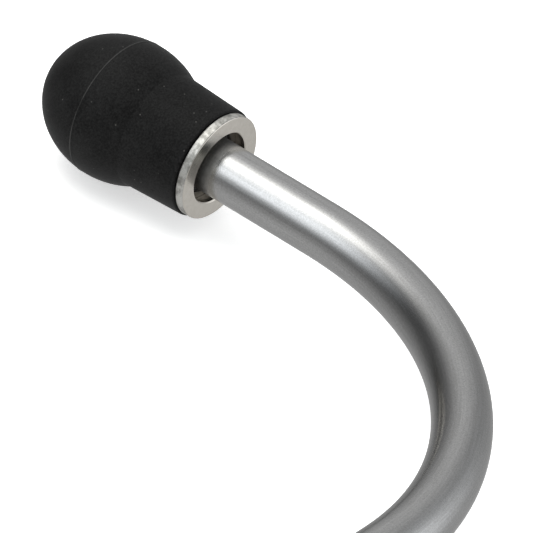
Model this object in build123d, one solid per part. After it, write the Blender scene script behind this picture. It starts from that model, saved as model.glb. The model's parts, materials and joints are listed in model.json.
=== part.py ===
"""Ladder stabilizer: a bent tube that holds a ladder off the wall on two swivelling rubber tips.

The crossbar lies along X on the row's origin, with the tube's bend plane level. Both arms turn through a
right angle and point at the wall, towards +Y. The ladder stands on the -Y side. Its two side rails run up
and down, along Z, and each is held in a pair of square U-bolts.

All lengths are in millimetres and all angles in degrees.
"""

import os

from build123d import *

# The tube
TUBE_OD = 25.4
TUBE_WALL = 2.1
BEND_RADIUS = 155.0  # at the tube's centreline
ARM_SPACING = 1120.0  # between the two arms' centrelines
ARM_STRAIGHT = 57.0  # from the end of the bend to the ferrule's face
TUBE_IN_TIP = 37.0  # from the ferrule's face to the tube's end

# The swivelling tips, measured along the arm from the ferrule's outer face
FERRULE_FLANGE_R = 24.8
FERRULE_FLANGE_T = 4.2
FERRULE_SLEEVE_R = 20.4
FERRULE_BORE_R = 16.9
FERRULE_DEPTH = 44.0  # inside depth
FERRULE_FLOOR = 3.0
FERRULE_KEY = 1.2  # height of the two ribs that key the sleeve into the rubber
FERRULE_KEY_WIDTH = 3.0
FERRULE_CHAMFER = 0.5
LIP_T = 2.6  # the lip at the mouth of the bore
RELIEF_R = 17.9  # between the lip and the circlip
GROOVE_START = 6.4
GROOVE_WIDTH = 1.6
GROOVE_R = 18.4
CIRCLIP_T = 1.5
CIRCLIP_TURN = 70.0  # of its gap about the arm's axis, from straight down
CIRCLIP_INNER_R = 15.0
CIRCLIP_GAP = 34.0  # angle that the open ring leaves free
CIRCLIP_LUG_R = 2.3
CIRCLIP_EYE_R = 0.9
BUSH_START = 8.3
BUSH_CAP = 4.5  # thickness of the bush beyond the tube's end
RUNNING_GAP = 0.05
END_PLAY = 0.3
PIN_R = 2.0
PIN_AT = 24.0
FIT_GAP = 0.02  # round the cross pin, and between the bush and the tube
NECK_START = 4.7  # the rubber stops just short of the flange
NECK_START_R = 25.8
NECK_END_R = 27.2
NECK_EDGE = 0.7
BULB_CENTRE = 55.9
BULB_HALF_LENGTH = 38.0
BULB_R = 32.4

# The two clamps
CLAMP_X = 185.0  # from the middle of the crossbar to each ladder rail
CLAMP_WIDTH = 66.0
CLAMP_HALF_HEIGHT = BULB_R  # so that clamps and bulbs lie on one level surface
CLAMP_CORNER = 5.0
SADDLE_GAP = 0.05  # between the tube and the saddles
SADDLE_EDGE_Y = 4.0  # where each saddle's flat begins, either side of the tube's axis
PLATE_T = 3.0
BLOCK_BACK_Y = 17.0
LAND_T = 2.5
LAND_WIDTH = 31.0
POCKET_DEPTH = 6.0
POCKET_HEIGHT = 13.0
POCKET_Y = 10.2
POCKET_CORNER = 1.5

# The square U-bolts and their fasteners, 1/4 inch thread
WIRE_R = 3.175
U_BOLT_INSIDE = 38.1  # between the legs
RAIL_ROOM = 95.0  # from the rail block's land to the inside of the U-bolt
U_BOLT_BEND_R = 10.0
LEG_Z = 24.4  # above and below the tube's axis
LEG_END_Y = 33.0
HOLE_R = 3.6
WASHER_R = 7.94
WASHER_T = 1.65
NUT_BORE_R = 3.225
NUT_HUB_R = 6.35
NUT_TOP_R = 5.3
NUT_HUB_H = 8.6
NUT_FLAT = 0.6  # the chamfer round the hub's foot and mouth
WING_REACH = 14.0
WING_TOP = 14.4
WING_T = 2.4
WING_EDGE = 0.7

TUBE_R = TUBE_OD / 2
SADDLE_R = TUBE_R + SADDLE_GAP
ARM_X = ARM_SPACING / 2
FERRULE_Y = BEND_RADIUS + ARM_STRAIGHT
LAND_Y = BLOCK_BACK_Y + LAND_T
PLATE_OUTER_Y = SADDLE_EDGE_Y + PLATE_T
NUT_Y = PLATE_OUTER_Y + WASHER_T
LEG_X = U_BOLT_INSIDE / 2 + WIRE_R
CROWN_Y = -(LAND_Y + RAIL_ROOM + WIRE_R)
SIDES = {"left": -1, "right": 1}
LEVELS = {"upper": 1, "lower": -1}
LEGS = {"inner": -1, "outer": 1}

ALONG_Y = Plane(origin=(0, 0, 0), x_dir=(1, 0, 0), z_dir=(0, 1, 0))


def turned(profile):
    """The solid of revolution about +Y of a closed outline drawn as (radius, distance) in XY."""
    return revolve(make_face(profile), axis=Axis.Y)


def round_bar(radius, start, end, x=0.0, z=0.0):
    """A round bar along +Y between two distances."""
    bar = extrude(ALONG_Y * Circle(radius), amount=end - start)
    return Pos(x, start, z) * bar


def tube_path():
    """The tube's centreline, from one arm's end to the other's."""
    end_y = FERRULE_Y + TUBE_IN_TIP
    corners = [(-ARM_X, end_y), (-ARM_X, 0), (ARM_X, 0), (ARM_X, end_y)]
    return FilletPolyline(*corners, radius=BEND_RADIUS)


def pin_holes(x):
    """What is drilled through one arm for its cross pin."""
    return Pos(x, FERRULE_Y + PIN_AT, 0) * Cylinder(PIN_R + FIT_GAP, 3 * FERRULE_BORE_R)


def stabilizer_tube():
    path = tube_path()
    section = Plane(origin=path @ 0, z_dir=path % 0)
    outside = sweep(section * Circle(TUBE_R), path=path)
    inside = sweep(section * Circle(TUBE_R - TUBE_WALL), path=path)
    tube = outside - inside
    for side in SIDES.values():
        tube = tube - pin_holes(side * ARM_X)
    return tube


def at_tip(shape, side):
    """Moves a piece of a tip from the origin to its arm."""
    return Pos(side * ARM_X, FERRULE_Y, 0) * shape


def ferrule_outline():
    """Outer outline of the plated cup that the rubber is moulded on, from its rim to its floor."""
    back = FERRULE_DEPTH + FERRULE_FLOOR
    rib = FERRULE_SLEEVE_R + FERRULE_KEY
    points = [(FERRULE_FLANGE_R, FERRULE_FLANGE_T), (FERRULE_SLEEVE_R, FERRULE_FLANGE_T)]
    for start in (back * 0.45, back * 0.72):
        points += [(FERRULE_SLEEVE_R, start), (rib, start)]
        points += [(rib, start + FERRULE_KEY_WIDTH), (FERRULE_SLEEVE_R, start + FERRULE_KEY_WIDTH)]
    points += [(FERRULE_SLEEVE_R, back), (0, back)]
    return points


def tip_ferrule():
    groove_end = GROOVE_START + GROOVE_WIDTH
    rim = [(FERRULE_BORE_R + FERRULE_CHAMFER, 0), (FERRULE_FLANGE_R - FERRULE_CHAMFER, 0)]
    rim += [(FERRULE_FLANGE_R, FERRULE_CHAMFER)]
    bore = [(0, FERRULE_DEPTH), (FERRULE_BORE_R, FERRULE_DEPTH), (FERRULE_BORE_R, groove_end)]
    bore += [(GROOVE_R, groove_end), (GROOVE_R, GROOVE_START), (RELIEF_R, GROOVE_START)]
    bore += [(RELIEF_R, LIP_T), (FERRULE_BORE_R, LIP_T), (FERRULE_BORE_R, FERRULE_CHAMFER)]
    return turned(Polyline(*rim, *ferrule_outline(), *bore, close=True))


def tip_bulb():
    """The rubber: a tapering neck that meets an egg-shaped ball at a crease."""
    crease = BULB_CENTRE - BULB_HALF_LENGTH * (1 - (NECK_END_R / BULB_R) ** 2) ** 0.5
    tip = BULB_CENTRE + BULB_HALF_LENGTH
    half_egg = Pos(0, BULB_CENTRE) * (Ellipse(BULB_R, BULB_HALF_LENGTH) & Pos(BULB_R, 0) * Rectangle(2 * BULB_R, 3 * tip))
    neck = [(0, NECK_START), (NECK_START_R - NECK_EDGE, NECK_START), (NECK_START_R, NECK_START + NECK_EDGE)]
    neck += [(NECK_END_R, crease), (0, crease)]
    below = Pos(BULB_R, crease - tip) * Rectangle(2 * BULB_R, 2 * tip)
    profile = make_face(Polyline(*neck, close=True)) + (half_egg - below)
    cavity = ferrule_outline()[1:-1]
    hollow = [(0, NECK_START - 1), (FERRULE_SLEEVE_R, NECK_START - 1)] + cavity[1:] + [(0, cavity[-1][1])]
    return revolve(profile, axis=Axis.Y) - turned(Polyline(*hollow, close=True))


def tip_circlip():
    """An open spring ring with an eye at each end, sprung into the ferrule's groove."""
    back = GROOVE_START + GROOVE_WIDTH
    ring_r = GROOVE_R - RUNNING_GAP
    start = back - CIRCLIP_T
    ring = round_bar(ring_r, start, back) - round_bar(CIRCLIP_INNER_R, start - 1, back + 1)
    reach = 2 * GROOVE_R
    half = CIRCLIP_GAP / 2
    wedge_points = [Vector(0, 0), Vector(0, reach).rotate(Axis.Z, half), Vector(0, reach * 1.5)]
    wedge_points += [Vector(0, reach).rotate(Axis.Z, -half)]
    wedge = ALONG_Y * make_face(Polyline(*wedge_points, close=True))
    ring = ring - Pos(0, start - 1, 0) * extrude(wedge, amount=CIRCLIP_T + 2)
    lug_r = CIRCLIP_INNER_R + CIRCLIP_LUG_R * 0.4
    for turn in (-half, half):
        at = ALONG_Y.from_local_coords(Vector(0, lug_r).rotate(Axis.Z, turn))
        lug = round_bar(CIRCLIP_LUG_R, start, back, at.X, at.Z) & round_bar(FERRULE_BORE_R, start, back)
        lug = lug - round_bar(TUBE_R + END_PLAY, start - 1, back + 1)
        ring = ring + lug - round_bar(CIRCLIP_EYE_R, start - 1, back + 1, at.X, at.Z)
    return ring.rotate(Axis.Y, -CIRCLIP_TURN)


def tip_bush():
    """The acetal bearing on the tube's end, closed beyond the end, that the ferrule turns on."""
    end = TUBE_IN_TIP + BUSH_CAP
    radius = FERRULE_BORE_R - RUNNING_GAP
    bush = round_bar(radius, BUSH_START, end) - round_bar(TUBE_R + FIT_GAP, BUSH_START - 1, TUBE_IN_TIP)
    return bush - Pos(0, PIN_AT, 0) * Cylinder(PIN_R + FIT_GAP, 3 * FERRULE_BORE_R)


def tip_pin():
    """The cross pin that holds the bush on the tube."""
    return Pos(0, PIN_AT, 0) * Cylinder(PIN_R, 2 * (FERRULE_BORE_R - END_PLAY - RUNNING_GAP) - 1)


def tip_thrust_washer():
    """The steel disc on the ferrule's floor that takes the push of the tube's end."""
    start = TUBE_IN_TIP + BUSH_CAP + END_PLAY
    return round_bar(FERRULE_BORE_R - END_PLAY, start, FERRULE_DEPTH)


def leg_holes(radius, x, start, end):
    """The four holes for the legs of one clamp's U-bolts."""
    holes = [
        round_bar(radius, start, end, x + leg * LEG_X, level * LEG_Z)
        for leg in LEGS.values()
        for level in LEVELS.values()
    ]
    return holes[0] + holes[1:]


def extruded_in_x(outline, x):
    """A prism of the clamp's width, from an outline drawn as (Y, Z)."""
    sketch = Plane.YZ * make_face(outline)
    return Pos(x - CLAMP_WIDTH / 2, 0, 0) * extrude(sketch, amount=CLAMP_WIDTH)


def rounded_corners(plate, x):
    """Rounds the four corners of a clamp plate, seen from the ladder."""
    outline = RectangleRounded(CLAMP_WIDTH, 2 * CLAMP_HALF_HEIGHT, CLAMP_CORNER)
    return plate & Pos(x, -2 * LAND_Y, 0) * extrude(ALONG_Y * outline, amount=4 * LAND_Y)


def saddle_half_height(radius, edge_y):
    """How far the round of a saddle reaches above the tube's axis where its flat begins."""
    return (radius**2 - edge_y**2) ** 0.5


def saddle_plate(x):
    """The pressed plate on the wall side of the tube, with a half-round over the tube."""
    top = CLAMP_HALF_HEIGHT
    outer_r = SADDLE_R + PLATE_T
    inner_z = saddle_half_height(SADDLE_R, SADDLE_EDGE_Y)
    outer_z = saddle_half_height(outer_r, PLATE_OUTER_Y)
    inner = [(SADDLE_EDGE_Y, -inner_z), (SADDLE_R, 0), (SADDLE_EDGE_Y, inner_z)]
    outer = [(PLATE_OUTER_Y, outer_z), (outer_r, 0), (PLATE_OUTER_Y, -outer_z)]
    outline = [
        Line((SADDLE_EDGE_Y, -top), inner[0]),
        ThreePointArc(*inner),
        Polyline(inner[-1], (SADDLE_EDGE_Y, top), (PLATE_OUTER_Y, top), outer[0]),
        ThreePointArc(*outer),
        Polyline(outer[-1], (PLATE_OUTER_Y, -top), (SADDLE_EDGE_Y, -top)),
    ]
    plate = rounded_corners(extruded_in_x(outline, x), x)
    return plate - leg_holes(HOLE_R, x, 0, 2 * PLATE_OUTER_Y)


def rail_block(x):
    """The extruded block on the ladder side, with a groove for the tube and a raised land for the rail."""
    top = CLAMP_HALF_HEIGHT
    groove_z = saddle_half_height(SADDLE_R, SADDLE_EDGE_Y)
    groove = [(-SADDLE_EDGE_Y, groove_z), (-SADDLE_R, 0), (-SADDLE_EDGE_Y, -groove_z)]
    outline = [
        Polyline(groove[-1], (-SADDLE_EDGE_Y, -top), (-BLOCK_BACK_Y, -top), (-BLOCK_BACK_Y, top)),
        Polyline((-BLOCK_BACK_Y, top), (-SADDLE_EDGE_Y, top), groove[0]),
        ThreePointArc(*groove),
    ]
    block = extruded_in_x(outline, x)
    pocket = Plane.YZ * RectangleRounded(POCKET_DEPTH, POCKET_HEIGHT, POCKET_CORNER)
    for level in LEVELS.values():
        block = block - Pos(x - CLAMP_WIDTH, -POCKET_Y, level * LEG_Z * 0.95) * extrude(pocket, amount=2 * CLAMP_WIDTH)
    land = Pos(x, -BLOCK_BACK_Y - LAND_T / 2, 0) * Box(LAND_WIDTH, LAND_T, 2 * top)
    block = rounded_corners(block + land, x)
    return block - leg_holes(HOLE_R, x, -2 * LAND_Y, 0)


def u_bolt(x, z):
    legs = [(x - LEG_X, LEG_END_Y, z), (x - LEG_X, CROWN_Y, z), (x + LEG_X, CROWN_Y, z), (x + LEG_X, LEG_END_Y, z)]
    path = FilletPolyline(*legs, radius=U_BOLT_BEND_R)
    wire = sweep(Plane(origin=path @ 0, z_dir=path % 0) * Circle(WIRE_R), path=path)
    ends = [edge for edge in wire.edges() if abs(edge.center().Y - LEG_END_Y) < RUNNING_GAP]
    return chamfer(ends, WIRE_R / 5)


def washers(x):
    discs = leg_holes(WASHER_R, x, PLATE_OUTER_Y, NUT_Y)
    return discs - leg_holes(HOLE_R, x, 0, 2 * NUT_Y)


def wing_outline():
    """One wing, drawn as (distance from the nut's axis, height above its foot)."""
    foot = [(NUT_HUB_R / 2, 1.8), (NUT_HUB_R - 0.2, 1.8), (WING_REACH * 0.8, 5.6)]
    ear = [foot[-1], (WING_REACH, WING_TOP * 0.66), (WING_REACH * 0.86, WING_TOP)]
    crest = [ear[-1], (WING_REACH * 0.72, WING_TOP - 0.2), (WING_REACH * 0.62, WING_TOP * 0.86)]
    back = [crest[-1], (NUT_TOP_R - 0.3, NUT_HUB_H - 0.6), (NUT_HUB_R / 2, NUT_HUB_H - 0.6), foot[0]]
    return [Polyline(*foot), ThreePointArc(*ear), ThreePointArc(*crest), Polyline(*back)]


def wing_nut(x, z):
    """A cast wing nut with its wings level, and its foot against the washer."""
    hub_points = [(NUT_BORE_R, 0), (NUT_HUB_R - NUT_FLAT, 0), (NUT_HUB_R, NUT_FLAT), (NUT_TOP_R, NUT_HUB_H)]
    hub_points += [(NUT_BORE_R, NUT_HUB_H)]
    hub = turned(Polyline(*hub_points, close=True))
    wing = Pos(0, 0, -WING_T / 2) * extrude(make_face(wing_outline()), amount=WING_T)
    wing = fillet(wing.faces().filter_by(Axis.Z).edges(), WING_EDGE)
    other_wing = wing.rotate(Axis.Y, 180)
    bore = round_bar(NUT_BORE_R, -1, WING_TOP)
    return Pos(x, NUT_Y, z) * (hub + wing + other_wing - bore)


def write(name, shape):
    export_step(shape, os.path.join("parts", name + ".step"))


def main():
    os.makedirs("parts", exist_ok=True)
    write("stabilizer_tube", stabilizer_tube())
    tip_pieces = [tip_bulb, tip_ferrule, tip_circlip, tip_bush, tip_pin, tip_thrust_washer]
    for make in tip_pieces:
        for side_name, side in SIDES.items():
            write(f"{make.__name__}_{side_name}", at_tip(make(), side))
    for side_name, side in SIDES.items():
        x = side * CLAMP_X
        write(f"rail_block_{side_name}", rail_block(x))
        write(f"saddle_plate_{side_name}", saddle_plate(x))
        write(f"washers_{side_name}", washers(x))
        for level_name, level in LEVELS.items():
            write(f"u_bolt_{level_name}_{side_name}", u_bolt(x, level * LEG_Z))
            for leg_name, leg in LEGS.items():
                nut = wing_nut(x + side * leg * LEG_X, level * LEG_Z)
                write(f"wing_nut_{level_name}_{leg_name}_{side_name}", nut)


main()
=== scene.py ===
"""A ladder stabilizer's finishes and fine shapes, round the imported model. In metres unless it says mm."""
import json
import math

import bmesh
import bpy
from mathutils import Matrix, Vector


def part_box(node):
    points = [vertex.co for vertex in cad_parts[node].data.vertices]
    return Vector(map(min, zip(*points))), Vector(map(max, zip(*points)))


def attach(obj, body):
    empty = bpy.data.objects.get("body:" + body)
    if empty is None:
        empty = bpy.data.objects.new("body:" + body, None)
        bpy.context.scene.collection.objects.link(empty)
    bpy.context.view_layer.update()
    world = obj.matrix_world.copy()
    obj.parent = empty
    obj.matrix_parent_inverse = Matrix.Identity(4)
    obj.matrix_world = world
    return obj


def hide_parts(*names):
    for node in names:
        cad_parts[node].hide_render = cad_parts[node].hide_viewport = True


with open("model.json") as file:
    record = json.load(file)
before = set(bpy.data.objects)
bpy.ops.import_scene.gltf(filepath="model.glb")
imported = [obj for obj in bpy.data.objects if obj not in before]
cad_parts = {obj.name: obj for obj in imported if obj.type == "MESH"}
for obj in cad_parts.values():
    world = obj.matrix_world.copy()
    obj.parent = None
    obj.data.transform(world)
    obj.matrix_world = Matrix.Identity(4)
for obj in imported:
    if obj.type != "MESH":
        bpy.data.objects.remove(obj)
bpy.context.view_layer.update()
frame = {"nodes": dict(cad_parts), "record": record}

MM = 0.001
SIDES = {"left": -1, "right": 1}

# ---------------------------------------------------------------- places, from the frame

RING_LOW, RING_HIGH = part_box("tip_ferrule_right")
ARM_X = (RING_LOW[0] + RING_HIGH[0]) / 2
FERRULE_Y = RING_LOW[1]
REST_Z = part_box("tip_bulb_right")[0][2]

# ---------------------------------------------------------------- sizes in mm

# The rubber tip, from the ferrule's outer face
NECK_START, NECK_START_R, NECK_LIP = 4.7, 25.8, 0.7
NECK_END_R = 27.2
BULB_CENTRE, BULB_HALF_LENGTH, BULB_R = 55.9, 38.0, 32.4
SEAM_AT, SEAM_HEIGHT, SEAM_HALF_WIDTH = 58.2, 0.14, 0.35
SLEEVE_R, SLEEVE_END = 20.4, 47.0

# The ferrule, from its outer face
FLANGE_R, FLANGE_T = 24.8, 4.2
BORE_R, BORE_END = 16.9, 44.0
LIP_T, RELIEF_R = 2.6, 17.9
GROOVE_R, GROOVE_START, GROOVE_END = 18.4, 6.4, 8.0
BROKEN_EDGE = 0.5

# The tube
TUBE_R, TUBE_WALL = 12.7, 2.1
BEND_R = 155.0
TUBE_IN_TIP = 37.0
TUBE_STEP = 5.0
UNPOLISHED_FROM, UNPOLISHED_TO = 8.0, 1.0

# The U-bolts: 1/4 inch wire with 20 threads to the inch
WIRE_R, WIRE_BEND_R = 3.175, 10.0
THREAD_PITCH, THREAD_DEPTH, THREAD_LENGTH = 1.27, 0.62, 64.0
THREAD_RUN_OUT, POINT_CHAMFER = 2.0, 0.8

# The clamps' rounded edges, as tumbling or blanking leaves them, and the grid of the wing nuts' cast skin
TUMBLED_EDGE, BLANKED_EDGE = 0.5, 0.25
CAST_GRID = 0.3

# ---------------------------------------------------------------- how finely shapes are drawn

TURN_STEPS = 128
EDGE_STEPS, LIP_STEPS, BALL_STEPS = 5, 4, 72
TUBE_SIDES, BEND_STEPS = 88, 80
WIRE_SIDES, WIRE_BEND_STEPS, RINGS_PER_PITCH = 20, 24, 6
ROUNDED_STEPS = 3
# The cast skin is smoothed in passes, each moving a point this part of the way to its neighbours' middle
CAST_PASSES, CAST_PULL = 6, 0.5

# Edges sharper than these many degrees are shaded as edges
RUBBER_SHARP, FERRULE_SHARP, THREAD_SHARP, ROUNDED_SHARP, NEVER_SHARP = 60, 28, 50, 35, 180
# Edges sharper than this many degrees are rounded over, and faces within the second angle are one flat
ROUND_PAST = 40
FLAT_WITHIN = 0.5

# A radius this small is on the axis, and points this close are one point
ON_AXIS_MM = 1e-6
SAME_PLACE = 1e-7
LOOSE_GAP = 0.002 * MM

# ---------------------------------------------------------------- node trees

# A colour mix's two colours and its result, given by place because other sockets share their names
COLOUR_A, COLOUR_B, MIXED = 6, 7, 2


def feed(tree, node, inputs):
    """Sets a node's inputs. Each is a number, a colour, a node (its first output) or a socket."""
    for key, value in inputs.items():
        if isinstance(value, bpy.types.Node):
            value = value.outputs[0]
        if isinstance(value, bpy.types.NodeSocket):
            tree.links.new(value, node.inputs[key])
        else:
            node.inputs[key].default_value = value


def add(tree, kind, inputs=None, **settings):
    """Adds a node with its settings and its inputs."""
    node = tree.nodes.new(kind)
    for name, value in settings.items():
        setattr(node, name, value)
    feed(tree, node, inputs or {})
    return node


def paint(code):
    """An sRGB hex colour as linear RGBA."""
    parts = [int(code[i:i + 2], 16) / 255 for i in (1, 3, 5)]
    linear = [c / 12.92 if c <= 0.04045 else ((c + 0.055) / 1.055) ** 2.4 for c in parts]
    return (*linear, 1.0)


def per(size_mm):
    """The texture scale that gives a pattern of this size on coordinates in metres."""
    return 1 / (size_mm * MM)


# ---------------------------------------------------------------- light, floor and camera

# Each soft lamp or dark card: compass angle from +X and height in degrees, tightness, strength, colour
LAMPS = {
    "key_softbox": (118, 67, 21, 4.2, "#fffefb"),
    "side_softbox": (147, 34.5, 14, 2.6, "#f9fcff"),
    "right_softbox": (-60, 26, 5, 1.75, "#fbfdff"),
    "front_fill": (32, 15, 21, 0.34, "#ffffff"),
    "low_card": (75, -7, 18, -0.18, "#ffffff"),
    "dark_room": (113, 84, 1.5, -2.75, "#ffffff"),
    "ceiling": (55, 67, 3.5, 2.45, "#ffffff"),
    "viewer_side": (-147, 34, 5.5, 0.88, "#fefffd"),
    "table_edge": (-147, -34, 6, -0.15, "#ffffff"),
    "floor_bounce": (170, -39, 5, 0.3, "#ffffff"),
}
ROOM_LEVEL = 0.68
LEAST_LIGHT = 0.03
BACKDROP = "#f7f7f6"

FLOOR_SIZE = 60.0
FLOOR_GAP = 0.3 * MM
PAPER_GLOW = 0.55

OVERHEAD_SIZE = 9.0
OVERHEAD_WATTS = 260.0
OVERHEAD_HEIGHT = 8.0

AIM_FROM_RING = Vector((-2.6, -35.3, -31.0)) * MM
CAMERA_DISTANCE = 1.991
CAMERA_AZIMUTH = -57.4
CAMERA_HEIGHT = 34.3
CAMERA_ROLL = 11.67
CAMERA_LENS_MM = 310.7
CAMERA_SENSOR_MM = 36
CAMERA_CLIP = (0.1, 100)


def compass(azimuth, height):
    """The direction at a compass angle from +X and a height, both in degrees."""
    a, h = math.radians(azimuth), math.radians(height)
    return Vector((math.cos(h) * math.cos(a), math.cos(h) * math.sin(a), math.sin(h)))


def studio_light():
    """A room of soft lamps: each one fades smoothly from its middle, and the room glows between them."""
    world = bpy.data.worlds.new("studio")
    bpy.context.scene.world = world
    world.use_nodes = True
    tree = world.node_tree
    tree.nodes.clear()
    toward = add(tree, "ShaderNodeTexCoord").outputs["Generated"]
    total = add(tree, "ShaderNodeCombineXYZ", {axis: ROOM_LEVEL for axis in "XYZ"})
    for azimuth, height, tightness, strength, colour in LAMPS.values():
        nearness = add(tree, "ShaderNodeVectorMath", {0: toward, 1: compass(azimuth, height)},
                       operation="DOT_PRODUCT").outputs["Value"]
        fade = add(tree, "ShaderNodeMath", {0: nearness, 1: tightness, 2: -tightness},
                   operation="MULTIPLY_ADD")
        glow = add(tree, "ShaderNodeMath", {0: fade}, operation="EXPONENT")
        light = [strength * c for c in paint(colour)[:3]]
        lamp = add(tree, "ShaderNodeVectorMath", {0: light, "Scale": glow}, operation="SCALE")
        total = add(tree, "ShaderNodeVectorMath", {0: total, 1: lamp}, operation="ADD")
    never_black = add(tree, "ShaderNodeVectorMath", {0: total, 1: (LEAST_LIGHT,) * 3}, operation="MAXIMUM")
    lit = add(tree, "ShaderNodeBackground", {"Color": never_black})
    seen = add(tree, "ShaderNodeBackground", {"Color": paint(BACKDROP)})
    camera_ray = add(tree, "ShaderNodeLightPath").outputs["Is Camera Ray"]
    mix = add(tree, "ShaderNodeMixShader", {0: camera_ray, 1: lit, 2: seen})
    add(tree, "ShaderNodeOutputWorld", {"Surface": mix})
    bpy.context.scene.view_settings.view_transform = "Standard"


def studio_floor():
    """A pale paper floor under the tips. Shiny pieces mirror the room through it, as on a small table."""
    mesh = bpy.data.meshes.new("floor")
    half = FLOOR_SIZE / 2
    z = REST_Z - FLOOR_GAP
    corners = [(-half, -half, z), (half, -half, z), (half, half, z), (-half, half, z)]
    mesh.from_pydata(corners, [], [(0, 1, 2, 3)])
    floor = bpy.data.objects.new("floor", mesh)
    bpy.context.scene.collection.objects.link(floor)
    paper, tree, shader, place = surface("backdrop_paper")
    grain = add(tree, "ShaderNodeTexNoise", {"Vector": place, "Scale": per(400), "Detail": 2.0})
    tint = add(tree, "ShaderNodeMix",
               {"Factor": grain.outputs["Fac"], COLOUR_A: paint("#fbfbfa"), COLOUR_B: paint("#ffffff")},
               data_type="RGBA")
    feed(tree, shader, {"Base Color": tint.outputs[MIXED], "Roughness": 0.9, "Specular IOR Level": 0.0,
                        "Emission Color": paint("#ffffff"), "Emission Strength": PAPER_GLOW})
    mesh.materials.append(paper)
    floor.visible_glossy = False


def floor_lamp():
    """A wide overhead lamp that whitens the paper and stays out of every mirror-like surface."""
    data = bpy.data.lights.new("overhead", "AREA")
    data.shape = "DISK"
    data.size = OVERHEAD_SIZE
    data.energy = OVERHEAD_WATTS
    lamp = bpy.data.objects.new("overhead", data)
    lamp.location = (0, 0, OVERHEAD_HEIGHT)
    lamp.visible_camera = False
    lamp.visible_glossy = False
    bpy.context.scene.collection.objects.link(lamp)


def camera():
    """A long lens, looking down at the right-hand tip from the ladder's side."""
    data = bpy.data.cameras.new("camera")
    data.sensor_width = CAMERA_SENSOR_MM
    data.lens = CAMERA_LENS_MM
    data.clip_start, data.clip_end = CAMERA_CLIP
    cam = bpy.data.objects.new("camera", data)
    bpy.context.scene.collection.objects.link(cam)
    a, h = math.radians(CAMERA_AZIMUTH), math.radians(CAMERA_HEIGHT)
    back = Vector((math.sin(a) * math.cos(h), -math.cos(a) * math.cos(h), math.sin(h)))
    aim = Vector((ARM_X, FERRULE_Y, 0)) + AIM_FROM_RING
    roll = Matrix.Rotation(math.radians(CAMERA_ROLL), 3, "Z")
    turn = (-back).to_track_quat("-Z", "Y").to_matrix() @ roll
    cam.matrix_world = Matrix.Translation(aim + back * CAMERA_DISTANCE) @ turn.to_4x4()
    bpy.context.scene.camera = cam


# ---------------------------------------------------------------- finishes


def surface(name):
    """A new material: the material, its node tree, its shader and its Object coordinates."""
    material = bpy.data.materials.new(name)
    material.use_nodes = True
    tree = material.node_tree
    place = add(tree, "ShaderNodeTexCoord").outputs["Object"]
    return material, tree, tree.nodes["Principled BSDF"], place


def satin_tube():
    """Drawn aluminium, brushed along its length and clear anodised: a soft metal sheen with fine streaks."""
    material, tree, shader, place = surface("satin_anodised_aluminium")
    straight = add(tree, "ShaderNodeAttribute", attribute_name="straight_place").outputs["Vector"]
    # streaks 25 mm long, and 0.9 mm wide so that they show
    drawn = add(tree, "ShaderNodeVectorMath", {0: straight, 1: (1, 1, 0.9 / 25)}, operation="MULTIPLY")
    streaks = add(tree, "ShaderNodeTexNoise",
                  {"Vector": drawn, "Scale": per(0.9), "Detail": 3.0, "Roughness": 0.65})
    # a grain 0.8 mm across, drawn coarse so that it shows
    grain = add(tree, "ShaderNodeTexNoise",
                {"Vector": place, "Scale": per(0.8), "Detail": 2.0, "Roughness": 0.8})
    cloud = add(tree, "ShaderNodeTexNoise", {"Vector": place, "Scale": per(60), "Detail": 2.0})
    both = add(tree, "ShaderNodeMix", {"Factor": 0.6, "A": streaks, "B": grain}, data_type="FLOAT")
    spread = add(tree, "ShaderNodeMapRange", {"Value": both, "From Min": 0.34, "From Max": 0.66})
    colour = add(tree, "ShaderNodeMix",
                 {"Factor": spread, COLOUR_A: paint("#a3a3a2"), COLOUR_B: paint("#bababa")},
                 data_type="RGBA")
    polished = add(tree, "ShaderNodeMapRange", {"Value": cloud, "To Min": 0.18, "To Max": 0.22})
    # the last millimetres before the tip miss the polishing wheel and stay rougher
    reach = add(tree, "ShaderNodeSeparateXYZ", {"Vector": place}).outputs["Y"]
    unpolished = add(tree, "ShaderNodeMapRange",
                     {"Value": reach, "From Min": FERRULE_Y - UNPOLISHED_FROM * MM,
                      "From Max": FERRULE_Y - UNPOLISHED_TO * MM, "To Max": 0.5},
                     interpolation_type="SMOOTHSTEP")
    rough = add(tree, "ShaderNodeMath", {0: polished, 1: unpolished}, operation="MAXIMUM")
    bump = add(tree, "ShaderNodeBump", {"Height": both, "Strength": 0.10, "Distance": 0.05 * MM})
    feed(tree, shader, {"Base Color": colour.outputs[MIXED], "Roughness": rough, "Normal": bump,
                        "Metallic": 1.0})
    return material


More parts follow.
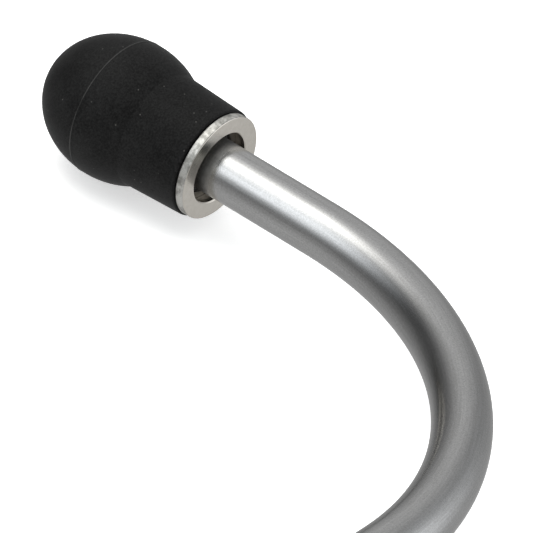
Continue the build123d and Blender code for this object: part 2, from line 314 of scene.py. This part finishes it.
def moulded_rubber():
    """Black moulded rubber: almost matte, finely grained, with specks of dust and a pale parting line."""
    material, tree, shader, place = surface("moulded_black_rubber")
    pores = add(tree, "ShaderNodeTexNoise",
                {"Vector": place, "Scale": per(0.35), "Detail": 3.0, "Roughness": 0.7})
    # grain 0.9 mm across, coarser than the real one so that it shows
    grain = add(tree, "ShaderNodeTexNoise",
                {"Vector": place, "Scale": per(0.9), "Detail": 2.0, "Roughness": 0.8})
    bloom = add(tree, "ShaderNodeTexNoise",
                {"Vector": place, "Scale": per(14), "Detail": 5.0, "Roughness": 0.65})
    mottle = add(tree, "ShaderNodeMix", {"Factor": 0.7, "A": bloom, "B": grain}, data_type="FLOAT")
    shade = add(tree, "ShaderNodeMapRange", {"Value": mottle, "From Min": 0.38, "From Max": 0.64})
    black = add(tree, "ShaderNodeMix",
                {"Factor": shade, COLOUR_A: paint("#020202"), COLOUR_B: paint("#1f1f1f")},
                data_type="RGBA")
    # one speck of dust in each 5.5 mm cell, about half a millimetre across
    cells = add(tree, "ShaderNodeTexVoronoi", {"Vector": place, "Scale": per(5.5), "Randomness": 1.0})
    speck = add(tree, "ShaderNodeMapRange",
                {"Value": cells.outputs["Distance"], "From Min": 0.04, "From Max": 0.07,
                 "To Min": 0.7, "To Max": 0.0})
    dusty = add(tree, "ShaderNodeMix",
                {"Factor": speck, COLOUR_A: black.outputs[MIXED], COLOUR_B: paint("#5c5b58")},
                data_type="RGBA")
    along = add(tree, "ShaderNodeSeparateXYZ", {"Vector": place}).outputs["Y"]
    off_seam = add(tree, "ShaderNodeMath", {0: along, 1: FERRULE_Y + SEAM_AT * MM}, operation="SUBTRACT")
    near_seam = add(tree, "ShaderNodeMath", {0: off_seam}, operation="ABSOLUTE")
    seam = add(tree, "ShaderNodeMapRange",
               {"Value": near_seam, "From Min": 0.12 * MM, "From Max": 0.34 * MM,
                "To Min": 0.8, "To Max": 0.0})
    worn = add(tree, "ShaderNodeMapRange",
               {"Value": bloom, "From Min": 0.36, "From Max": 0.56, "To Min": 0.35, "To Max": 1.0})
    line = add(tree, "ShaderNodeMath", {0: seam, 1: worn}, operation="MULTIPLY")
    colour = add(tree, "ShaderNodeMix",
                 {"Factor": line, COLOUR_A: dusty.outputs[MIXED], COLOUR_B: paint("#424241")},
                 data_type="RGBA")
    rough = add(tree, "ShaderNodeMapRange", {"Value": bloom, "To Min": 0.5, "To Max": 0.72})
    bump = add(tree, "ShaderNodeBump", {"Height": pores, "Strength": 0.35, "Distance": 0.08 * MM})
    feed(tree, shader, {"Base Color": colour.outputs[MIXED], "Roughness": rough, "Normal": bump,
                        "Sheen Weight": 0.05, "Sheen Roughness": 0.35, "IOR": 1.5,
                        "Specular IOR Level": 0.18})
    return material


def nickel_plate():
    """Turned steel under nickel: a warm gloss on the faces, a blotchy tumbled rim and a dull bore."""
    material, tree, shader, place = surface("nickel_plated_steel")
    apart = add(tree, "ShaderNodeSeparateXYZ", {"Vector": place})
    either_side = add(tree, "ShaderNodeMath", {0: apart.outputs["X"]}, operation="ABSOLUTE")
    sideways = add(tree, "ShaderNodeMath", {0: either_side, 1: ARM_X}, operation="SUBTRACT")
    across = add(tree, "ShaderNodeCombineXYZ", {"X": sideways, "Z": apart.outputs["Z"]})
    radius = add(tree, "ShaderNodeVectorMath", {0: across}, operation="LENGTH").outputs["Value"]
    rim = add(tree, "ShaderNodeMapRange",
              {"Value": radius, "From Min": (FLANGE_R - 0.2) * MM, "From Max": (FLANGE_R - 0.1) * MM})
    depth = add(tree, "ShaderNodeMath", {0: apart.outputs["Y"], 1: FERRULE_Y}, operation="SUBTRACT")
    behind_face = add(tree, "ShaderNodeMapRange",
                      {"Value": depth, "From Min": 0.2 * MM, "From Max": 0.7 * MM})
    within = add(tree, "ShaderNodeMapRange",
                 {"Value": radius, "From Min": SLEEVE_R * MM, "From Max": (SLEEVE_R - 1) * MM})
    inside = add(tree, "ShaderNodeMath", {0: behind_face, 1: within}, operation="MULTIPLY")
    lumps = add(tree, "ShaderNodeTexNoise",
                {"Vector": place, "Scale": per(2.6), "Detail": 3.0, "Roughness": 0.6})
    scuffs = add(tree, "ShaderNodeTexNoise",
                 {"Vector": place, "Scale": per(0.5), "Detail": 4.0, "Roughness": 0.7})
    blotches = add(tree, "ShaderNodeTexNoise",
                   {"Vector": place, "Scale": per(5), "Detail": 5.0, "Roughness": 0.7})
    patchy = add(tree, "ShaderNodeMapRange", {"Value": blotches, "From Min": 0.42, "From Max": 0.58})
    face_colour = add(tree, "ShaderNodeMix",
                      {"Factor": lumps, COLOUR_A: paint("#d4cfc6"), COLOUR_B: paint("#e8e3da")},
                      data_type="RGBA")
    rim_colour = add(tree, "ShaderNodeMix",
                     {"Factor": patchy, COLOUR_A: paint("#9c9b96"), COLOUR_B: paint("#d9d8d3")},
                     data_type="RGBA")
    outside = add(tree, "ShaderNodeMix",
                  {"Factor": rim, COLOUR_A: face_colour.outputs[MIXED], COLOUR_B: rim_colour.outputs[MIXED]},
                  data_type="RGBA")
    colour = add(tree, "ShaderNodeMix",
                 {"Factor": inside, COLOUR_A: outside.outputs[MIXED], COLOUR_B: paint("#b8b2a9")},
                 data_type="RGBA")
    face_rough = add(tree, "ShaderNodeMapRange", {"Value": scuffs, "To Min": 0.14, "To Max": 0.30})
    rim_rough = add(tree, "ShaderNodeMapRange", {"Value": scuffs, "To Min": 0.36, "To Max": 0.56})
    turned_rough = add(tree, "ShaderNodeMix", {"Factor": rim, "A": face_rough, "B": rim_rough},
                       data_type="FLOAT")
    rough = add(tree, "ShaderNodeMix", {"Factor": inside, "A": turned_rough, "B": 0.32}, data_type="FLOAT")
    relief = add(tree, "ShaderNodeMix", {"Factor": 0.25, "A": lumps, "B": scuffs}, data_type="FLOAT")
    bump = add(tree, "ShaderNodeBump", {"Height": relief, "Strength": 0.3, "Distance": 0.12 * MM})
    feed(tree, shader, {"Base Color": colour.outputs[MIXED], "Roughness": rough, "Normal": bump,
                        "Metallic": 1.0})
    return material


def plain_metal(name, dark, light, low, high, grain_mm, depth_mm):
    """A metal with a worn, slightly uneven skin: two close colours, uneven gloss and a fine relief."""
    material, tree, shader, place = surface(name)
    fine = add(tree, "ShaderNodeTexNoise",
               {"Vector": place, "Scale": per(grain_mm), "Detail": 4.0, "Roughness": 0.65})
    # the two colours lie in clouds 14 grains across
    wide = add(tree, "ShaderNodeTexNoise", {"Vector": place, "Scale": per(grain_mm * 14), "Detail": 3.0})
    colour = add(tree, "ShaderNodeMix", {"Factor": wide, COLOUR_A: paint(dark), COLOUR_B: paint(light)},
                 data_type="RGBA")
    rough = add(tree, "ShaderNodeMapRange", {"Value": fine, "To Min": low, "To Max": high})
    bump = add(tree, "ShaderNodeBump", {"Height": fine, "Strength": 0.4, "Distance": depth_mm * MM})
    feed(tree, shader, {"Base Color": colour.outputs[MIXED], "Roughness": rough, "Normal": bump,
                        "Metallic": 1.0})
    return material


def turned_acetal():
    """Black acetal, turned: a smooth waxy plastic with faint rings from the tool."""
    material, tree, shader, place = surface("turned_black_acetal")
    # rings 3.77 mm apart, wider than a tool's feed, so that they show; at scale 1 a wave is 2 pi / 20 long
    rings = add(tree, "ShaderNodeTexWave",
                {"Vector": place, "Scale": per(3.77) * 2 * math.pi / 20, "Distortion": 0.4},
                bands_direction="Y").outputs["Fac"]
    colour = add(tree, "ShaderNodeMix",
                 {"Factor": rings, COLOUR_A: paint("#343433"), COLOUR_B: paint("#434342")},
                 data_type="RGBA")
    bump = add(tree, "ShaderNodeBump", {"Height": rings, "Strength": 0.2, "Distance": 0.03 * MM})
    feed(tree, shader, {"Base Color": colour.outputs[MIXED], "Normal": bump, "Roughness": 0.38, "IOR": 1.48})
    return material


# ---------------------------------------------------------------- turned shapes


def facing_out(mesh):
    """Turns every face of a mesh outwards."""
    work = bmesh.new()
    work.from_mesh(mesh)
    bmesh.ops.recalc_face_normals(work, faces=work.faces)
    work.to_mesh(mesh)
    work.free()
    return mesh


def tidy(mesh, sharp_degrees):
    """Merges doubled points, turns every face outwards, and shades all but the sharp edges smooth."""
    work = bmesh.new()
    work.from_mesh(mesh)
    bmesh.ops.remove_doubles(work, verts=work.verts, dist=SAME_PLACE)
    work.to_mesh(mesh)
    work.free()
    facing_out(mesh)
    mesh.shade_smooth()
    mesh.set_sharp_from_angle(angle=math.radians(sharp_degrees))
    return mesh


def turned(name, outline, x, sharp_degrees):
    """A solid of revolution on an arm's axis, from a closed outline of (radius, distance along) in mm."""
    rings = []
    verts = []
    for radius, along in outline:
        y = FERRULE_Y + along * MM
        if radius < ON_AXIS_MM:
            rings.append([len(verts)] * TURN_STEPS)
            verts.append((x, y, 0))
            continue
        rings.append(list(range(len(verts), len(verts) + TURN_STEPS)))
        for i in range(TURN_STEPS):
            turn = 2 * math.pi * i / TURN_STEPS
            verts.append((x + radius * MM * math.cos(turn), y, radius * MM * math.sin(turn)))
    faces = []
    for here, there in zip(rings, rings[1:] + rings[:1]):
        for i in range(TURN_STEPS):
            j = (i + 1) % TURN_STEPS
            corners = [here[i], here[j], there[j], there[i]]
            loop = [c for k, c in enumerate(corners) if c != corners[k - 1]]
            if len(loop) > 2:
                faces.append(loop)
    mesh = bpy.data.meshes.new(name)
    mesh.from_pydata(verts, [], faces)
    return tidy(mesh, sharp_degrees)


def arc(centre, radius, start, end, steps):
    """Points of an arc, from one angle to another in degrees. The radius is a number or one for each axis."""
    wide, high = radius if isinstance(radius, tuple) else (radius, radius)
    turns = [math.radians(start + (end - start) * i / steps) for i in range(steps + 1)]
    return [(centre[0] + wide * math.cos(t), centre[1] + high * math.sin(t)) for t in turns]


def bulb_radius(along):
    """The ball's radius at a distance along the arm."""
    return BULB_R * math.sqrt(max(0.0, 1 - ((along - BULB_CENTRE) / BULB_HALF_LENGTH) ** 2))


def bulb_outline():
    """Lip, tapering neck, crease, egg-shaped ball with the mould's parting line, and the sleeve's hollow."""
    lip = arc((NECK_START_R - NECK_LIP, NECK_START + NECK_LIP), NECK_LIP, -90, 0, LIP_STEPS)
    crease = BULB_CENTRE - BULB_HALF_LENGTH * math.sqrt(1 - (NECK_END_R / BULB_R) ** 2)
    first = math.degrees(math.asin((crease - BULB_CENTRE) / BULB_HALF_LENGTH))
    ball = [p for p in arc((0, BULB_CENTRE), (BULB_R, BULB_HALF_LENGTH), first, 90, BALL_STEPS)
            if abs(p[1] - SEAM_AT) > 2 * SEAM_HALF_WIDTH]
    seam = [SEAM_AT - SEAM_HALF_WIDTH, SEAM_AT - SEAM_HALF_WIDTH / 3, SEAM_AT + SEAM_HALF_WIDTH / 3,
            SEAM_AT + SEAM_HALF_WIDTH]
    flash = [(bulb_radius(y) + (SEAM_HEIGHT if i in (1, 2) else 0), y) for i, y in enumerate(seam)]
    before = [p for p in ball if p[1] < SEAM_AT]
    after = [p for p in ball if p[1] > SEAM_AT]
    hollow = [(0, SLEEVE_END), (SLEEVE_R, SLEEVE_END), (SLEEVE_R, NECK_START)]
    return lip + before + flash + after + hollow


def ferrule_outline():
    """The plated cup: flange with broken edges, sleeve, floor, and bore with the circlip's groove."""
    face = [(BORE_R + BROKEN_EDGE, 0), (FLANGE_R - BROKEN_EDGE, 0)]
    outer_edge = arc((FLANGE_R - BROKEN_EDGE, BROKEN_EDGE), BROKEN_EDGE, -90, 0, EDGE_STEPS)[1:]
    back_edge = arc((FLANGE_R - BROKEN_EDGE, FLANGE_T - BROKEN_EDGE), BROKEN_EDGE, 0, 90, EDGE_STEPS)
    sleeve = [(SLEEVE_R, FLANGE_T), (SLEEVE_R, SLEEVE_END), (0, SLEEVE_END)]
    bore = [(0, BORE_END), (BORE_R, BORE_END)]
    groove = [(BORE_R, GROOVE_END), (GROOVE_R, GROOVE_END), (GROOVE_R, GROOVE_START),
              (RELIEF_R, GROOVE_START)]
    mouth = [(RELIEF_R, LIP_T), (BORE_R, LIP_T), (BORE_R, BROKEN_EDGE)]
    return face + outer_edge + back_edge + sleeve + bore + groove + mouth


# ---------------------------------------------------------------- shapes swept along a path


def evaluated(thing, name):
    """The plain mesh that an object's modifiers give. The object is removed."""
    depsgraph = bpy.context.evaluated_depsgraph_get()
    mesh = bpy.data.meshes.new_from_object(thing.evaluated_get(depsgraph))
    mesh.name = name
    bpy.data.objects.remove(thing)
    return mesh


def working_object(name, data):
    """An object to put modifiers on, in the scene while it is worked on."""
    thing = bpy.data.objects.new(name, data)
    bpy.context.scene.collection.objects.link(thing)
    return thing


def grown(name, path, tree, values):
    """The plain mesh that a node tree makes from a path, with the tree's inputs set by name."""
    seed = working_object(name + "_seed", path)
    modifier = seed.modifiers.new("grow", "NODES")
    modifier.node_group = tree
    for item in tree.interface.items_tree:
        if item.in_out == "INPUT" and item.name in values:
            modifier[item.identifier] = values[item.name]
    return evaluated(seed, name)


def poly_curve(name, corners):
    """A curve of straight runs through the corners."""
    curve = bpy.data.curves.new(name, "CURVE")
    curve.dimensions = "3D"
    spline = curve.splines.new("POLY")
    spline.points.add(len(corners) - 1)
    for point, corner in zip(spline.points, corners):
        point.co = (*corner, 1)
    return curve


def tree_with(name, sizes, result):
    """A new geometry tree that takes a path and named sizes: the tree and its inputs."""
    tree = bpy.data.node_groups.new(name, "GeometryNodeTree")
    face = tree.interface
    face.new_socket("Path", in_out="INPUT", socket_type="NodeSocketGeometry")
    for size in sizes:
        face.new_socket(size, in_out="INPUT", socket_type="NodeSocketFloat")
    face.new_socket(result, in_out="OUTPUT", socket_type="NodeSocketGeometry")
    return tree, add(tree, "NodeGroupInput").outputs


def finish_tree(tree, shape, finish, result):
    """Ends a geometry tree: real geometry, in its finish."""
    real = add(tree, "GeometryNodeRealizeInstances", {"Geometry": shape})
    done = add(tree, "GeometryNodeSetMaterial", {"Geometry": real, "Material": finish})
    add(tree, "NodeGroupOutput", {result: done})


def tube_tree(finish):
    """Geometry nodes: rounds the path's corners, sweeps a circle along it and notes where each point lies."""
    tree, given = tree_with("bent_tube", ("Bend Radius", "Tube Radius", "Step"), "Tube")
    bent = add(tree, "GeometryNodeFilletCurve",
               {"Curve": given["Path"], "Radius": given["Bend Radius"], "Count": BEND_STEPS}, mode="POLY")
    fine = add(tree, "GeometryNodeResampleCurve", {"Curve": bent, "Length": given["Step"]}, mode="LENGTH")
    # each point's place on the tube before it was bent: across in X and Y, along in Z
    along = add(tree, "GeometryNodeSplineParameter").outputs["Length"]
    lengthwise = add(tree, "ShaderNodeCombineXYZ", {"Z": along})
    path = add(tree, "GeometryNodeCaptureAttribute", {"Geometry": fine})
    path.capture_items.new("VECTOR", "along")
    feed(tree, path, {"along": lengthwise})
    ring = add(tree, "GeometryNodeCurvePrimitiveCircle",
               {"Resolution": TUBE_SIDES, "Radius": given["Tube Radius"]})
    profile = add(tree, "GeometryNodeCaptureAttribute", {"Geometry": ring})
    profile.capture_items.new("VECTOR", "across")
    feed(tree, profile, {"across": add(tree, "GeometryNodeInputPosition")})
    swept = add(tree, "GeometryNodeCurveToMesh", {"Curve": path, "Profile Curve": profile})
    straight = add(tree, "ShaderNodeVectorMath",
                   {0: path.outputs["along"], 1: profile.outputs["across"]}, operation="ADD")
    marked = add(tree, "GeometryNodeStoreNamedAttribute",
                 {"Geometry": swept, "Name": "straight_place", "Value": straight},
                 data_type="FLOAT_VECTOR", domain="POINT")
    smooth = add(tree, "GeometryNodeSetShadeSmooth", {"Geometry": marked})
    finish_tree(tree, smooth, finish, "Tube")
    return tree


def walled(mesh, thickness):
    """Gives an open-ended skin its wall, inwards."""
    skin = working_object("skin", mesh)
    wall = skin.modifiers.new("wall", "SOLIDIFY")
    wall.thickness = thickness
    wall.offset = -1
    return evaluated(skin, "walled_tube")


def tube_mesh(finish):
    """The whole tube round its path: arm end, corner, corner, arm end."""
    end = FERRULE_Y + TUBE_IN_TIP * MM
    path = poly_curve("tube_path", [(-ARM_X, end, 0), (-ARM_X, 0, 0), (ARM_X, 0, 0), (ARM_X, end, 0)])
    sizes = {"Bend Radius": BEND_R * MM, "Tube Radius": TUBE_R * MM, "Step": TUBE_STEP * MM}
    return walled(facing_out(grown("tube", path, tube_tree(finish), sizes)), TUBE_WALL * MM)


# -1 turns the thread's helix right-handed
THREAD_HAND = -1
# the flats at the thread's crest and root, as parts of a pitch from the crest's middle
CREST_ENDS, ROOT_STARTS = 0.08, 0.44


def u_bolt_tree(finish):
    """Geometry nodes: sweeps a wire along the bent path, and cuts a right-handed thread into both legs."""
    sizes = ("Bend Radius", "Wire Radius", "Step", "Pitch", "Thread Depth", "Thread Length", "Run Out",
             "Chamfer")
    tree, given = tree_with("threaded_u_bolt", sizes, "Bolt")
    bent = add(tree, "GeometryNodeFilletCurve",
               {"Curve": given["Path"], "Radius": given["Bend Radius"], "Count": WIRE_BEND_STEPS},
               mode="POLY")
    fine = add(tree, "GeometryNodeResampleCurve", {"Curve": bent, "Length": given["Step"]}, mode="LENGTH")
    total = add(tree, "GeometryNodeCurveLength", {"Curve": fine})
    path = add(tree, "GeometryNodeCaptureAttribute", {"Geometry": fine})
    path.capture_items.new("VECTOR", "core")
    path.capture_items.new("FLOAT", "along")
    feed(tree, path, {"core": add(tree, "GeometryNodeInputPosition"),
                      "along": add(tree, "GeometryNodeSplineParameter").outputs["Length"]})
    ring = add(tree, "GeometryNodeCurvePrimitiveCircle",
               {"Resolution": WIRE_SIDES, "Radius": given["Wire Radius"]})
    across = add(tree, "ShaderNodeSeparateXYZ", {"Vector": add(tree, "GeometryNodeInputPosition")})
    angle = add(tree, "ShaderNodeMath", {0: across.outputs["Y"], 1: across.outputs["X"]},
                operation="ARCTAN2")
    profile = add(tree, "GeometryNodeCaptureAttribute", {"Geometry": ring})
    profile.capture_items.new("FLOAT", "angle")
    feed(tree, profile, {"angle": angle})
    swept = add(tree, "GeometryNodeCurveToMesh",
                {"Curve": path, "Profile Curve": profile, "Fill Caps": True})
    core, along = path.outputs["core"], path.outputs["along"]
    # the thread's V runs up and down once in each pitch and each turn
    pitches = add(tree, "ShaderNodeMath", {0: along, 1: given["Pitch"]}, operation="DIVIDE")
    helix = add(tree, "ShaderNodeMath",
                {0: profile.outputs["angle"], 1: THREAD_HAND / (2 * math.pi), 2: pitches},
                operation="MULTIPLY_ADD")
    vee = add(tree, "ShaderNodeMath", {0: helix, 1: 0.5}, operation="PINGPONG")
    groove = add(tree, "ShaderNodeMapRange", {"Value": vee, "From Min": CREST_ENDS, "From Max": ROOT_STARTS})
    # it fades out over the run-out, counted from the nearer end of the wire
    far_end = add(tree, "ShaderNodeMath", {0: total, 1: along}, operation="SUBTRACT")
    from_end = add(tree, "ShaderNodeMath", {0: along, 1: far_end}, operation="MINIMUM")
    last_thread = add(tree, "ShaderNodeMath", {0: given["Thread Length"], 1: given["Run Out"]},
                      operation="ADD")
    threaded = add(tree, "ShaderNodeMapRange",
                   {"Value": from_end, "From Min": last_thread, "From Max": given["Thread Length"]})
    cut = add(tree, "ShaderNodeMath", {0: groove, 1: threaded}, operation="MULTIPLY")
    depth = add(tree, "ShaderNodeMath", {0: cut, 1: given["Thread Depth"]}, operation="MULTIPLY")
    point = add(tree, "ShaderNodeMath", {0: given["Chamfer"], 1: from_end}, operation="SUBTRACT")
    deepest = add(tree, "ShaderNodeMath", {0: depth, 1: point}, operation="MAXIMUM")
    radius = add(tree, "ShaderNodeMath", {0: given["Wire Radius"], 1: deepest}, operation="SUBTRACT")
    # each point moves to that radius from the wire's core
    spoke = add(tree, "ShaderNodeVectorMath", {0: add(tree, "GeometryNodeInputPosition"), 1: core},
                operation="SUBTRACT")
    away = add(tree, "ShaderNodeVectorMath", {0: spoke}, operation="NORMALIZE")
    reach = add(tree, "ShaderNodeVectorMath", {0: away, "Scale": radius}, operation="SCALE")
    place = add(tree, "ShaderNodeVectorMath", {0: core, 1: reach}, operation="ADD")
    shaped = add(tree, "GeometryNodeSetPosition", {"Geometry": swept, "Position": place})
    finish_tree(tree, shaped, finish, "Bolt")
    return tree


def u_bolt_mesh(node, name, tree):
    """A U-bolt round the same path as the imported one: leg end, crown corner, crown corner, leg end."""
    low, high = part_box(node)
    wire = WIRE_R * MM
    left, right = low[0] + wire, high[0] - wire
    crown, end, z = low[1] + wire, high[1], (low[2] + high[2]) / 2
    path = poly_curve(name, [(left, end, z), (left, crown, z), (right, crown, z), (right, end, z)])
    sizes = {"Bend Radius": WIRE_BEND_R, "Wire Radius": WIRE_R, "Step": THREAD_PITCH / RINGS_PER_PITCH,
             "Pitch": THREAD_PITCH, "Thread Depth": THREAD_DEPTH, "Thread Length": THREAD_LENGTH,
             "Run Out": THREAD_RUN_OUT, "Chamfer": POINT_CHAMFER}
    mesh = grown(name, path, tree, {size: value * MM for size, value in sizes.items()})
    return tidy(mesh, THREAD_SHARP)


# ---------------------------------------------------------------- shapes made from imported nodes


def copied(node):
    """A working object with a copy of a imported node's mesh, its triangles merged and its flats made whole."""
    mesh = frame["nodes"][node].data.copy()
    work = bmesh.new()
    work.from_mesh(mesh)
    bmesh.ops.remove_doubles(work, verts=work.verts, dist=LOOSE_GAP)
    flat = math.radians(FLAT_WITHIN)
    bmesh.ops.dissolve_limit(work, angle_limit=flat, verts=work.verts, edges=work.edges)
    work.to_mesh(mesh)
    work.free()
    return working_object(node + "_copy", mesh)


def weighted_normals(mesh):
    """Each point's normal, led by its largest faces, so that flats stay flat up to their rounded edges."""
    normals = [Vector() for _ in mesh.vertices]
    for face in mesh.polygons:
        for corner in face.vertices:
            normals[corner] += face.normal * face.area
    return [normal.normalized() for normal in normals]


def eased(node, name, width_mm):
    """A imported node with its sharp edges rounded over."""
    thing = copied(node)
    bevel = thing.modifiers.new("ease", "BEVEL")
    bevel.width = width_mm * MM
    bevel.segments = ROUNDED_STEPS
    bevel.limit_method = "ANGLE"
    bevel.angle_limit = math.radians(ROUND_PAST)
    bevel.use_clamp_overlap = True
    mesh = tidy(evaluated(thing, name), ROUNDED_SHARP)
    mesh.normals_split_custom_set_from_vertices(weighted_normals(mesh))
    return mesh


def cast(node, name):
    """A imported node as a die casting: every corner and root rounded, and the skin softly uneven."""
    thing = copied(node)
    skin = thing.modifiers.new("skin", "REMESH")
    skin.mode = "VOXEL"
    skin.voxel_size = CAST_GRID * MM
    soft = thing.modifiers.new("soften", "SMOOTH")
    soft.factor = CAST_PULL
    soft.iterations = CAST_PASSES
    return tidy(evaluated(thing, name), NEVER_SHARP)


# ---------------------------------------------------------------- the object

RECORD = frame["record"]
SLOT_OF = {part["node"]: part["material_slot"] for part in RECORD["subparts"]}
BODY_OF = {node: body for body, nodes in RECORD["behaviour"]["bodies"].items() for node in nodes}
# Plain metals: dark and light colour, least and greatest roughness, grain and relief in mm
FINISHES = {
    "tube_aluminium": satin_tube(),
    "tip_rubber": moulded_rubber(),
    "ferrule_nickel": nickel_plate(),
    "bush_acetal": turned_acetal(),
    "spring_steel": plain_metal("tumbled_spring_steel", "#8f8c86", "#aaa7a0", 0.3, 0.45, 0.4, 0.02),
    "zinc_plated_steel": plain_metal("bright_zinc_plated_steel", "#b0b6bb", "#cfd0cc", 0.2, 0.36, 0.5, 0.02),
    "clamp_aluminium": plain_metal("tumbled_cast_aluminium", "#a2a29f", "#c4c4c2", 0.3, 0.52, 0.9, 0.12),
}
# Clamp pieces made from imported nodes: the node each one is made from, and its rounded edge in mm
EASED_PIECES = {
    "clamp_block": ("rail_block", TUMBLED_EDGE),
    "clamp_saddle": ("saddle_plate", TUMBLED_EDGE),
    "blanked_washers": ("washers", BLANKED_EDGE),
}


def show(name, mesh, node):
    """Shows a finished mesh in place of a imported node, on its body and in its finish."""
    thing = bpy.data.objects.new(name, mesh)
    bpy.context.scene.collection.objects.link(thing)
    mesh.materials.clear()
    mesh.materials.append(FINISHES[SLOT_OF[node]])
    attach(thing, BODY_OF[node])
    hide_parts(node)


show("bent_tube", tube_mesh(FINISHES["tube_aluminium"]), "stabilizer_tube")
BOLT_TREE = u_bolt_tree(FINISHES["zinc_plated_steel"])
for side, sign in SIDES.items():
    x = sign * ARM_X
    rubber, cup = f"rubber_tip_{side}", f"ferrule_{side}"
    show(rubber, turned(rubber, bulb_outline(), x, RUBBER_SHARP), f"tip_bulb_{side}")
    show(cup, turned(cup, ferrule_outline(), x, FERRULE_SHARP), f"tip_ferrule_{side}")
    for piece, (node, edge) in EASED_PIECES.items():
        show(f"{piece}_{side}", eased(f"{node}_{side}", f"{piece}_{side}", edge), f"{node}_{side}")
    for level in ("upper", "lower"):
        bolt = f"threaded_bolt_{level}_{side}"
        show(bolt, u_bolt_mesh(f"u_bolt_{level}_{side}", bolt, BOLT_TREE), f"u_bolt_{level}_{side}")
        for leg in ("inner", "outer"):
            nut = f"cast_nut_{level}_{leg}_{side}"
            show(nut, cast(f"wing_nut_{level}_{leg}_{side}", nut), f"wing_nut_{level}_{leg}_{side}")

for node, thing in frame["nodes"].items():
    thing.data.materials.clear()
    thing.data.materials.append(FINISHES[SLOT_OF[node]])

studio_light()
studio_floor()
floor_lamp()
camera()
